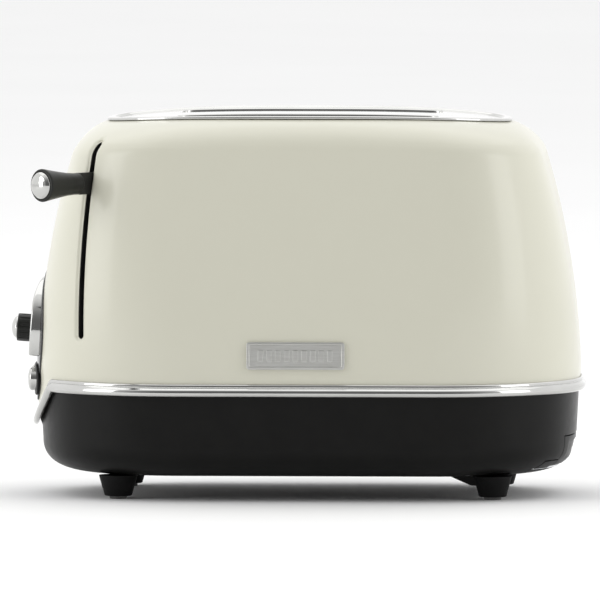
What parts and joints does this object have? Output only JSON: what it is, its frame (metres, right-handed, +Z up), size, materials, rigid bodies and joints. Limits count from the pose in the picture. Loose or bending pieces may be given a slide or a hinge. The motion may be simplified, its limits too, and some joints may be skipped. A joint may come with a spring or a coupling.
{
  "type": "pop up toaster",
  "caption": "Two-slot pop-up toaster with a tapered rounded painted body, chrome waist trim, dark base, and an angled lever, dial and buttons at one end.",
  "frame": {"origin": "on the plane the foot pads stand on, under the middle of the overall length and width (the body's own middle is 6 mm further along +X)", "axes": "+X along the toaster's length towards the crumb tray and the cord, away from the controls; +Y across it, away from the lever's side; +Z up"},
  "size_m": [0.3058, 0.1805, 0.2035],
  "materials": {
    "cream_paint": "gloss",
    "bright_chrome": "polished",
    "black_satin_plastic": "satin",
    "black_rubber_feet": "satin",
    "grey_rubber_pads": "matt",
    "badge_metal": "satin",
    "black_gloss_panel": "gloss",
    "dial_face_white": "satin",
    "zinc_steel": "zinc plated",
    "bright_sheet": "bright sheet",
    "mica_board": "layered mica",
    "resistance_ribbon": "oxidised",
    "bright_steel": "drawn",
    "coil_copper": "enamelled wire",
    "board_green": "solder mask",
    "component_black": "moulded",
    "ivory_nylon": "moulded",
    "lead_insulation": "sleeved",
    "wire_steel": "bright wire",
    "black_coated_steel": "satin",
    "black_handle_plastic": "satin"
  },
  "bodies": {
    "chassis": {"outer_shell": "cream_paint", "top_plate": "bright_chrome", "trim_band": "bright_chrome", "base": "black_satin_plastic", "feet": "black_rubber_feet", "foot_pads": "grey_rubber_pads", "name_badge": "badge_metal", "control_panel": "black_gloss_panel", "button_surround": "black_satin_plastic", "dial_bezel": "bright_chrome", "dial_scale": "dial_face_white", "front_bulkhead": "zinc_steel", "rear_bulkhead": "zinc_steel", "side_reflector_near": "bright_sheet", "side_reflector_far": "bright_sheet", "chassis_rails": "zinc_steel", "heater_board_near_outer": "mica_board", "heater_board_near_inner": "mica_board", "heater_board_far_inner": "mica_board", "heater_board_far_outer": "mica_board", "heater_ribbon_near_outer": "resistance_ribbon", "heater_ribbon_near_inner": "resistance_ribbon", "heater_ribbon_far_inner": "resistance_ribbon", "heater_ribbon_far_outer": "resistance_ribbon", "guide_rod": "bright_steel", "lift_spring": "bright_steel", "electromagnet_core": "zinc_steel", "electromagnet_coil": "coil_copper", "control_board": "board_green", "board_components": "component_black", "potentiometer": "zinc_steel", "terminal_block": "ivory_nylon", "cord_gland": "black_satin_plastic", "internal_leads": "lead_insulation", "cord_cleats": "black_satin_plastic", "base_screws": "bright_steel", "chassis_screws": "bright_steel"},
    "carriage": {"carriage_bracket": "zinc_steel", "carriage_bushes": "ivory_nylon", "bread_rack_near": "wire_steel", "bread_rack_far": "wire_steel", "lever_arm": "black_coated_steel", "lever_handle": "black_handle_plastic", "lever_cap": "bright_chrome", "armature_plate": "zinc_steel"},
    "knob": {"browning_knob": "black_handle_plastic", "knob_cap": "bright_chrome", "knob_shaft": "bright_steel"},
    "crumb_tray": {"crumb_tray_pan": "bright_sheet", "crumb_tray_handle": "black_satin_plastic"},
    "cancel_button_body": {"cancel_button": "bright_chrome"},
    "reheat_button_body": {"reheat_button": "bright_chrome"},
    "defrost_button_body": {"defrost_button": "bright_chrome"},
    "bread_guard_near_outer_body": {"bread_guard_near_outer": "wire_steel"},
    "bread_guard_near_inner_body": {"bread_guard_near_inner": "wire_steel"},
    "bread_guard_far_inner_body": {"bread_guard_far_inner": "wire_steel"},
    "bread_guard_far_outer_body": {"bread_guard_far_outer": "wire_steel"}
  },
  "joints": [
    {"name": "carriage_slide", "type": "slide", "parent": "chassis", "child": "carriage", "axis": [0, 0, 1], "range_m": [-0.075, 0.014], "stiffness_N_per_m": 150, "springref_m": 0.0075, "deforming": ["lift_spring"]},
    {"name": "browning_knob_turn", "type": "hinge", "parent": "chassis", "child": "knob", "pos_m": [-0.137, 0, 0.087], "axis": [-0.9976, 0, 0.0698], "range_deg": [-100, 100]},
    {"name": "crumb_tray_slide", "type": "slide", "parent": "chassis", "child": "crumb_tray", "axis": [1, 0, 0], "range_m": [0, 0.19]},
    {"name": "cancel_button_press", "type": "slide", "parent": "chassis", "child": "cancel_button_body", "axis": [1, 0, 0], "range_m": [0, 0.0015], "stiffness_N_per_m": 500, "springref_m": -0.0005},
    {"name": "reheat_button_press", "type": "slide", "parent": "chassis", "child": "reheat_button_body", "axis": [1, 0, 0], "range_m": [0, 0.0015], "stiffness_N_per_m": 500, "springref_m": -0.0005},
    {"name": "defrost_button_press", "type": "slide", "parent": "chassis", "child": "defrost_button_body", "axis": [1, 0, 0], "range_m": [0, 0.0015], "stiffness_N_per_m": 500, "springref_m": -0.0005},
    {"name": "bread_guard_near_outer_lean", "type": "hinge", "parent": "chassis", "child": "bread_guard_near_outer_body", "pos_m": [0.006, -0.046, 0.0625], "axis": [1, 0, 0], "range_deg": [-4.7, 1]},
    {"name": "bread_guard_near_inner_lean", "type": "hinge", "parent": "chassis", "child": "bread_guard_near_inner_body", "pos_m": [0.006, -0.01, 0.0625], "axis": [1, 0, 0], "range_deg": [-1, 4.7]},
    {"name": "bread_guard_far_inner_lean", "type": "hinge", "parent": "chassis", "child": "bread_guard_far_inner_body", "pos_m": [0.006, 0.01, 0.0625], "axis": [1, 0, 0], "range_deg": [-4.7, 1]},
    {"name": "bread_guard_far_outer_lean", "type": "hinge", "parent": "chassis", "child": "bread_guard_far_outer_body", "pos_m": [0.006, 0.046, 0.0625], "axis": [1, 0, 0], "range_deg": [-1, 4.7]}
  ],
  "couplings": [
    {"joint": "bread_guard_near_outer_lean", "follows": "carriage_slide", "rad_per_m": 1.05},
    {"joint": "bread_guard_near_inner_lean", "follows": "carriage_slide", "rad_per_m": -1.05},
    {"joint": "bread_guard_far_inner_lean", "follows": "carriage_slide", "rad_per_m": 1.05},
    {"joint": "bread_guard_far_outer_lean", "follows": "carriage_slide", "rad_per_m": -1.05}
  ]
}
